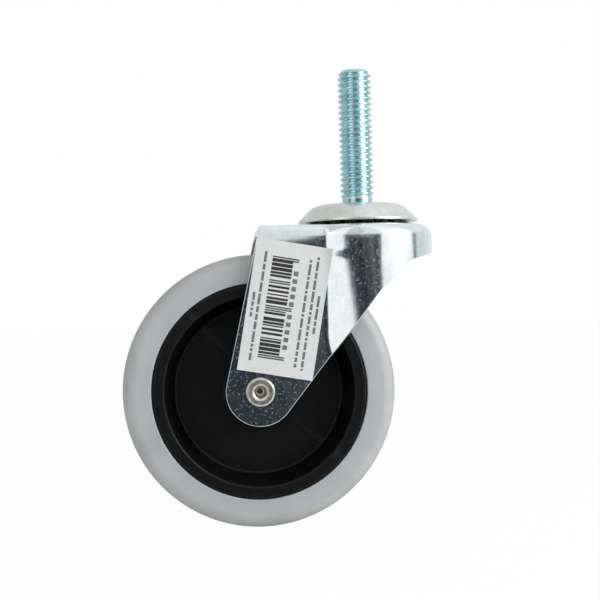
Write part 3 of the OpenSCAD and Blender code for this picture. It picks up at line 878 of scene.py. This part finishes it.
def build_lever():
    sheet = Sheet()
    arm_end = TAB_BEND_R - LEVER_REACH
    bend_l = TAB_BEND_R * math.pi / 2
    tab_end = arm_end - bend_l - (TAB_L - TAB_BEND_R)
    half = LEVER_W / 2
    spine = (arm_end + BEAD_END, -LEVER_END_R - BEAD_END)
    turn = Matrix.Rotation(LEVER_RISE, 3, "Y")
    shift = Vector((AXLE.x, 0, AXLE.z))

    def bent(s, v):
        """Outer and inner point and normal of the sheet, from a place on the flat outline."""
        if s >= arm_end:
            away = Vector((s - clamped(s, *spine), v))
            height, slope = bead_rise(away.length)
            lean = away.normalized() * -slope
            return (s, LEVER_Y + LEVER_SHEET + height, v), (s, LEVER_Y, v), (lean.x, 1, lean.y), (0, -1, 0)
        t = min((arm_end - s) / TAB_BEND_R, math.pi / 2)
        x, y = math.sin(t), math.cos(t)
        out = LEVER_Y + TAB_BEND_R + max(0.0, arm_end - bend_l - s)
        r = TAB_BEND_R - LEVER_SHEET
        outer = (arm_end - r * x, out - r * y, v)
        inner = (arm_end - TAB_BEND_R * x, out - TAB_BEND_R * y, v)
        return outer, inner, (x, y, 0), (-x, -y, 0)

    def add(p):
        outer, inner, normal, back = (turn @ Vector(c) for c in bent(p.x, p.y))
        return sheet.add(shift + outer, shift + inner, normal, back)

    # flat outline: round end on the axle, then the tab's two corners
    wide = math.pi - math.asin(half / LEVER_END_R)
    tab = tab_end + TAB_CORNER_R
    flank = half - TAB_CORNER_R
    ends = arc(0, 0, LEVER_END_R, -wide, wide, 60)
    ends += arc(tab, flank, TAB_CORNER_R, math.pi / 2, math.pi, 12)
    ends += arc(tab, -flank, TAB_CORNER_R, math.pi, 1.5 * math.pi, 12)
    loop = []
    for p, q in zip(ends, ends[1:] + ends[:1]):
        n = max(1, round((q - p).length / 0.63))
        loop += [p + (q - p) * k / n for k in range(n)]
    loop = shrunk(loop, [False] * len(loop), EDGE_R)
    hole = circle(AXLE_R + 0.05 + EDGE_R, 48)

    # rings round the bead, out to the end of its fillet
    along = [Vector((spine[0] + (spine[1] - spine[0]) * k / 18, 0)) for k in range(19)]
    rings = []
    for r in [0.5, 1.0, 1.3] + [BEAD_FOOT + d for d in (0.0, 0.1, 0.2, 0.3, BEAD_FILLET)]:
        near = arc(spine[1], 0, r, -math.pi / 2, math.pi / 2, 16)
        far = arc(spine[0], 0, r, math.pi / 2, 1.5 * math.pi, 16)
        up = Vector((0, r))
        rings.append(near + [p + up for p in along[-2:0:-1]] + far + [p - up for p in along[1:-1]])
    spread = [Vector((arm_end + bend_l / 8 * i, 0.72 * j)) for i in range(-26, 62) for j in range(-10, 11)]
    grid = along + filling(spread, loop, [hole, rings[-1]], 0.35)
    co, tris = triangles([loop, hole], grid, rings)
    ids = [add(p) for p in co]
    for t in tris:
        sheet.face([ids[i] for i in t], True)
    verts, normals, faces = sheet.solid(EDGE_R)
    return piece("pressed_lever", "brake_lever", "brake_lever", verts, faces, [LEVER_ZINC],
                 normals)


# Label: paper with printed bars and grey strips, its long side along the leg

def label_marks():
    """Printed rectangles as (left, right, top, bottom, ink number) from the label's upper rear corner."""
    marks = []
    module, v = 0.2916, 4.3
    cells = [(2, 1, 3, 1), (1, 2, 2, 2), (3, 1, 2, 1), (2, 3, 1, 1), (1, 1, 2, 3), (2, 2, 1, 2)]
    order = (0, 2, 3, 1, 5, 0, 4, 2, 1, 3, 0, 2)
    widths = [(1, 1, 1, 0)] + [cells[k] for k in order[:6]] + [(0, 1, 1, 1), (1, 1, 0, 0)]
    widths += [cells[k] for k in order[6:]] + [(1, 1, 1, 0)]
    for cell in widths:
        long_bars = cell[3] == 0 or cell[0] == 0
        for bar, gap in (cell[:2], cell[2:]):
            if bar:
                marks.append((4.95, 12.2 if long_bars else 10.7, v - 0.04, v + bar * module + 0.04, 1))
            v += (bar + gap) * module
    lines = [(1.45, 14.8, 21.5), (3.0, 3.3, 33.2), (15.35, 3.8, 33.3), (17.3, 2.8, 33.9), (19.0, 13.2, 23.6)]
    seed = 7
    for middle, start, stop in lines:
        v = start
        while v < stop - 0.4:
            seed = (seed * 73 + 41) % 257
            word = 0.8 + 0.45 * ((seed >> 2) % 6)
            last = min(v + word, stop)
            marks.append((middle - 0.36, middle + 0.36, v, last, 2))
            v = last + 0.42
    for start in (7.6, 19.4):
        for k in range(5):
            v = start + 2.1 * k
            marks.append((11.2, 12.5, v, v + 1.25, 2))
    return marks


def build_label():
    marks = label_marks()
    us = {0.0, LABEL_W} | {round(c, 4) for m in marks for c in m[:2]}
    vs = {0.0, LABEL_H} | {round(c, 4) for m in marks for c in m[2:4]}
    us |= {LABEL_W * k / 28 for k in range(29)}
    vs |= {LABEL_H * k / 24 for k in range(25)}

    def spread(values):
        out = []
        for v in sorted(values):
            if not out or v - out[-1] > 0.02:
                out.append(v)
        return out

    us, vs = spread(us), spread(vs)
    corner_z = CROWN_Z - LABEL_DROP
    lean = side_edge()[1]
    corner = Vector((-CROWN_REAR + lean * (corner_z - CROWN_Z) + LABEL_INSET, 0, corner_z))
    across = Vector((math.cos(LABEL_TILT), 0, -math.sin(LABEL_TILT)))
    down = Vector((-math.sin(LABEL_TILT), 0, -math.cos(LABEL_TILT)))

    def lift(u, v):
        """Slight lift of the paper at its corners and edges."""
        corners = max(0.0, 1 - math.hypot(u - LABEL_W, v) / 4.0) ** 2 * 0.22
        corners += max(0.0, 1 - math.hypot(u, v - LABEL_H) / 5.0) ** 2 * 0.18
        return corners + 0.02 * math.sin(u * 0.55 + 0.4) * math.sin(v * 0.31) + 0.02

    verts, faces, mats = [], [], []
    nu, nv = len(us), len(vs)
    for depth in (LABEL_T, 0.0):
        for v in vs:
            for u in us:
                at = corner + across * u + down * v
                on_leg, way = plan(run_at(at.x))
                spot = on_leg + way * (depth * 0.8 + lift(u, v))
                verts.append(Vector((spot.x, spot.y, at.z)))
    for j in range(nv - 1):
        for i in range(nu - 1):
            a = j * nu + i
            u, v = (us[i] + us[i + 1]) / 2, (vs[j] + vs[j + 1]) / 2
            kind = next((m[4] for m in marks if m[0] < u < m[1] and m[2] < v < m[3]), 0)
            faces.append((a, a + nu, a + nu + 1, a + 1))
            mats.append(kind)
            b = nu * nv + a
            faces.append((b, b + 1, b + nu + 1, b + nu))
            mats.append(0)
    rim = list(range(nu)) + [j * nu + nu - 1 for j in range(1, nv)]
    rim += [(nv - 1) * nu + i for i in range(nu - 2, -1, -1)] + [j * nu for j in range(nv - 2, 0, -1)]
    for a, b in zip(rim, rim[1:] + rim[:1]):
        faces.append((a, b, nu * nv + b, nu * nv + a))
        mats.append(0)
    obj = piece("printed_label", "fork", "paper_label", verts, faces, [PAPER, INK, PALE_INK],
                face_mats=mats)
    obj.data.set_sharp_from_angle(angle=math.radians(40))
    return obj


build_stem()
build_cap()
build_hub()
build_tyre()
build_rivet()
build_fork()
build_lever()
build_label()

# Pieces whose solids show as they are
for node, mat in {
    "lower_race": FORK_ZINC, "upper_balls": RACE_STEEL_GREASE_AND_PAINTED_SHADE, "lower_balls": RACE_STEEL_GREASE_AND_PAINTED_SHADE, "axle_sleeve": AXLE_STEEL,
    "near_thrust_washer": AXLE_STEEL, "far_thrust_washer": AXLE_STEEL, "cam_washer": AXLE_STEEL,
    "spring_washer": AXLE_STEEL,
}.items():
    obj = frame["nodes"][node]
    obj.data.materials.clear()
    obj.data.materials.append(mat)


# Studio: white for the camera, a room of pale and dark bands for reflections, two soft lamps, a pale floor

def build_world():
    """White for the camera; other rays see a room, pale but for dark bands on the camera's side."""
    world = bpy.data.worlds.new("studio")
    bpy.context.scene.world = world
    world.use_nodes = True
    nodes, link = world.node_tree.nodes, world.node_tree.links.new
    nodes.clear()
    out = nodes.new("ShaderNodeOutputWorld")
    show = nodes.new("ShaderNodeMixShader")
    path = nodes.new("ShaderNodeLightPath")
    white = nodes.new("ShaderNodeBackground")
    room = nodes.new("ShaderNodeBackground")
    white.inputs["Color"].default_value = (1, 1, 1, 1)
    place = nodes.new("ShaderNodeTexCoord")
    parts = nodes.new("ShaderNodeSeparateXYZ")
    link(place.outputs["Generated"], parts.inputs["Vector"])

    def maths(kind, a, b=None):
        node = nodes.new("ShaderNodeMath")
        node.operation = kind
        for slot, value in enumerate((a, b)):
            if isinstance(value, (int, float)):
                node.inputs[slot].default_value = value
            elif value is not None:
                link(value, node.inputs[slot])
        return node.outputs["Value"]

    def at(degrees):
        """Place on the ramp round the object of an angle from the camera's side."""
        return 0.5 + degrees / 360

    def share(value):
        """Place on a ramp of a direction's part, from -1 to 1."""
        return maths("ADD", maths("MULTIPLY", value, 0.5), 0.5)

    turn = maths("ARCTAN2", parts.outputs["X"], maths("MULTIPLY", parts.outputs["Y"], -1.0))
    around = ramp(nodes, link, maths("ADD", maths("DIVIDE", turn, 2 * math.pi), 0.5), [
        (at(-180), (0.76, 0.77, 0.77)), (at(-150), (0.62, 0.63, 0.62)), (at(-80), (0.64, 0.65, 0.65)),
        (at(-73), (0.05, 0.06, 0.06)), (at(-59), (0.05, 0.06, 0.06)), (at(-54), (1.0, 1.0, 1.0)),
        (at(-27), (1.0, 1.0, 1.0)), (at(-21), (0.16, 0.19, 0.20)), (at(-16), (0.035, 0.045, 0.06)),
        (at(-7), (0.03, 0.035, 0.045)), (at(2), (0.012, 0.018, 0.025)), (at(4.5), (0.055, 0.066, 0.08)),
        (at(7), (0.05, 0.06, 0.07)), (at(10), (0.025, 0.032, 0.038)), (at(16), (0.13, 0.14, 0.15)),
        (at(20), (0.04, 0.048, 0.052)), (at(28), (0.07, 0.08, 0.085)), (at(31), (1.0, 1.0, 1.0)),
        (at(85), (1.0, 1.0, 1.0)), (at(87), (0.20, 0.24, 0.24)), (at(94), (0.24, 0.29, 0.29)),
        (at(98), (0.62, 0.70, 0.70)), (at(112), (0.64, 0.70, 0.70)), (at(140), (0.80, 0.83, 0.83)),
        (at(165), (0.84, 0.85, 0.85)), (at(180), (0.76, 0.77, 0.77)),
    ])
    height = ramp(nodes, link, share(parts.outputs["Z"]), [
        (0.0, (0.80, 0.80, 0.80)), (0.24, (0.78, 0.78, 0.78)), (0.34, (0.0, 0.0, 0.0)),
        (0.56, (0.0, 0.0, 0.0)), (0.63, (0.72, 0.76, 0.77)), (0.72, (0.80, 0.83, 0.83)),
        (0.85, (0.80, 0.83, 0.83)), (1.0, (0.86, 0.885, 0.875)),
    ])
    sides = ramp(nodes, link, share(parts.outputs["X"]), [
        (0.505, (0.74, 0.74, 0.73)), (0.53, (1.0, 1.0, 1.0)),
    ])
    above = blend(nodes, link, "MULTIPLY", height, sides)
    link(blend(nodes, link, "LIGHTEN", around, above), room.inputs["Color"])
    link(path.outputs["Is Camera Ray"], show.inputs["Fac"])
    link(room.outputs["Background"], show.inputs[1])
    link(white.outputs["Background"], show.inputs[2])
    link(show.outputs["Shader"], out.inputs["Surface"])


FLOOR_GAP = 0.0002
LAMP_AIM = Vector((-0.015, 0, -0.03))


def build_floor():
    """Pale floor, nearly white to the camera and see-through to reflections."""
    mesh = bpy.data.meshes.new("floor")
    z = (AXLE.z - WHEEL_R) * MM - FLOOR_GAP
    mesh.from_pydata([(-3, -3, z), (3, -3, z), (3, 3, z), (-3, 3, z)], [], [(0, 1, 2, 3)])
    floor = bpy.data.objects.new("floor", mesh)
    bpy.context.scene.collection.objects.link(floor)
    mat = bpy.data.materials.new("floor")
    mat.use_nodes = True
    nodes, link = mat.node_tree.nodes, mat.node_tree.links.new
    nodes.clear()
    out = nodes.new("ShaderNodeOutputMaterial")
    pale = nodes.new("ShaderNodeBsdfDiffuse")
    pale.inputs["Color"].default_value = (0.9, 0.9, 0.9, 1)
    glow = nodes.new("ShaderNodeEmission")
    glow.inputs["Color"].default_value = (1, 1, 1, 1)
    path = nodes.new("ShaderNodeLightPath")
    share = nodes.new("ShaderNodeMath")
    share.operation = "MULTIPLY"
    share.inputs[1].default_value = 0.965
    mix = nodes.new("ShaderNodeMixShader")
    link(path.outputs["Is Camera Ray"], share.inputs[0])
    link(share.outputs["Value"], mix.inputs["Fac"])
    link(pale.outputs["BSDF"], mix.inputs[1])
    link(glow.outputs["Emission"], mix.inputs[2])
    clear = nodes.new("ShaderNodeBsdfTransparent")
    shown = nodes.new("ShaderNodeMixShader")
    link(path.outputs["Is Glossy Ray"], shown.inputs["Fac"])
    link(mix.outputs["Shader"], shown.inputs[1])
    link(clear.outputs["BSDF"], shown.inputs[2])
    link(shown.outputs["Shader"], out.inputs["Surface"])
    mesh.materials.append(mat)


def soft_lamp(name, at, size, power):
    data = bpy.data.lights.new(name, "AREA")
    data.shape = "DISK"
    data.size = size
    data.energy = power
    lamp = bpy.data.objects.new(name, data)
    bpy.context.scene.collection.objects.link(lamp)
    lamp.location = at
    aim = LAMP_AIM - Vector(at)
    lamp.rotation_euler = aim.to_track_quat("-Z", "Y").to_euler()
    lamp.visible_camera = False


def build_camera():
    target = Vector((-17.12, 0, -26.75)) * MM
    distance = 0.380
    yaw, pitch, roll = math.radians(4.062), math.radians(-0.138), math.radians(-1.4773)
    back = Vector((-math.sin(yaw) * math.cos(pitch), -math.cos(yaw) * math.cos(pitch), math.sin(pitch)))
    right = (-back).cross(Vector((0, 0, 1))).normalized()
    up = right.cross(-back)
    tilted_right = right * math.cos(roll) + up * math.sin(roll)
    tilted_up = up * math.cos(roll) - right * math.sin(roll)
    data = bpy.data.cameras.new("camera")
    data.sensor_fit = "HORIZONTAL"
    data.sensor_width = 36
    data.lens = 80.24
    data.clip_start = 0.01
    camera = bpy.data.objects.new("camera", data)
    bpy.context.scene.collection.objects.link(camera)
    turn = Matrix((tilted_right, tilted_up, back)).transposed().to_4x4()
    camera.matrix_world = Matrix.Translation(target + back * distance) @ turn
    bpy.context.scene.camera = camera


build_world()
build_floor()
soft_lamp("left_lamp", (-0.9, -0.8, 0.5), 0.4, 0.3)
soft_lamp("right_lamp", (0.31, -0.186, 0.124), 0.25, 0.85)
build_camera()
bpy.context.scene.view_settings.view_transform = "Standard"
